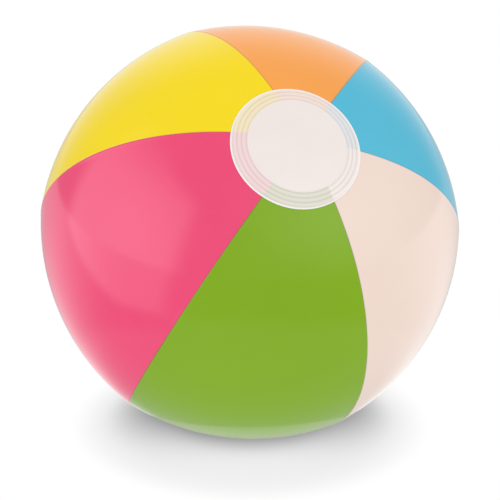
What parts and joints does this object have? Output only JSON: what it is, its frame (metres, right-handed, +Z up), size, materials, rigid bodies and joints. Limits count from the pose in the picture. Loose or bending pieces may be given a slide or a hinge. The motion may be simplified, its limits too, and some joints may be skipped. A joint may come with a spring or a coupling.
{
  "type": "inflatable beach ball",
  "caption": "Inflated vinyl beach ball of coloured gores between welded end caps, with a push-in inflation valve, resting on the floor.",
  "frame": {"origin": "centre of the small round patch on which the inflated ball rests on the floor", "axes": "+Z up from the floor; -Y towards the side where the near end cap looks out, so the valve is on the +Y side"},
  "size_m": [0.3313, 0.3255, 0.3254],
  "materials": {
    "vinyl_orange": "glossy soft vinyl",
    "vinyl_blue": "glossy soft vinyl",
    "vinyl_white": "glossy soft vinyl, slightly milky",
    "vinyl_green": "glossy soft vinyl",
    "vinyl_pink": "glossy soft vinyl",
    "vinyl_yellow": "glossy soft vinyl",
    "vinyl_cap": "glossy milky white vinyl with weld ribs",
    "valve_vinyl": "soft milky vinyl"
  },
  "bodies": {
    "ball": {"panel_orange": "vinyl_orange", "panel_blue": "vinyl_blue", "panel_white": "vinyl_white", "panel_green": "vinyl_green", "panel_pink": "vinyl_pink", "panel_yellow": "vinyl_yellow", "near_cap": "vinyl_cap", "far_cap": "vinyl_cap", "valve_base": "valve_vinyl", "valve_skirt": "valve_vinyl"},
    "valve_stem": {"valve_stem": "valve_vinyl", "valve_strap": "valve_vinyl"},
    "valve_plug": {"valve_plug": "valve_vinyl"},
    "check_flap": {"check_flap": "valve_vinyl"}
  },
  "joints": [
    {"name": "valve_push", "type": "slide", "parent": "ball", "child": "valve_stem", "axis": [-0.1131, 0.9734, 0.1994], "range_m": [0, 0.022], "deforming": ["valve_skirt"]},
    {"name": "plug_pull", "type": "slide", "parent": "valve_stem", "child": "valve_plug", "axis": [-0.1131, 0.9734, 0.1994], "range_m": [0, 0.01], "deforming": ["valve_strap"]},
    {"name": "flap_lift", "type": "hinge", "parent": "valve_stem", "child": "check_flap", "pos_m": [-0.02028, 0.14693, 0.19993], "axis": [-0.9691, -0.1523, 0.1938], "range_deg": [0, 60], "stiffness_Nm_per_rad": 0.00005, "springref_deg": -20.05}
  ]
}
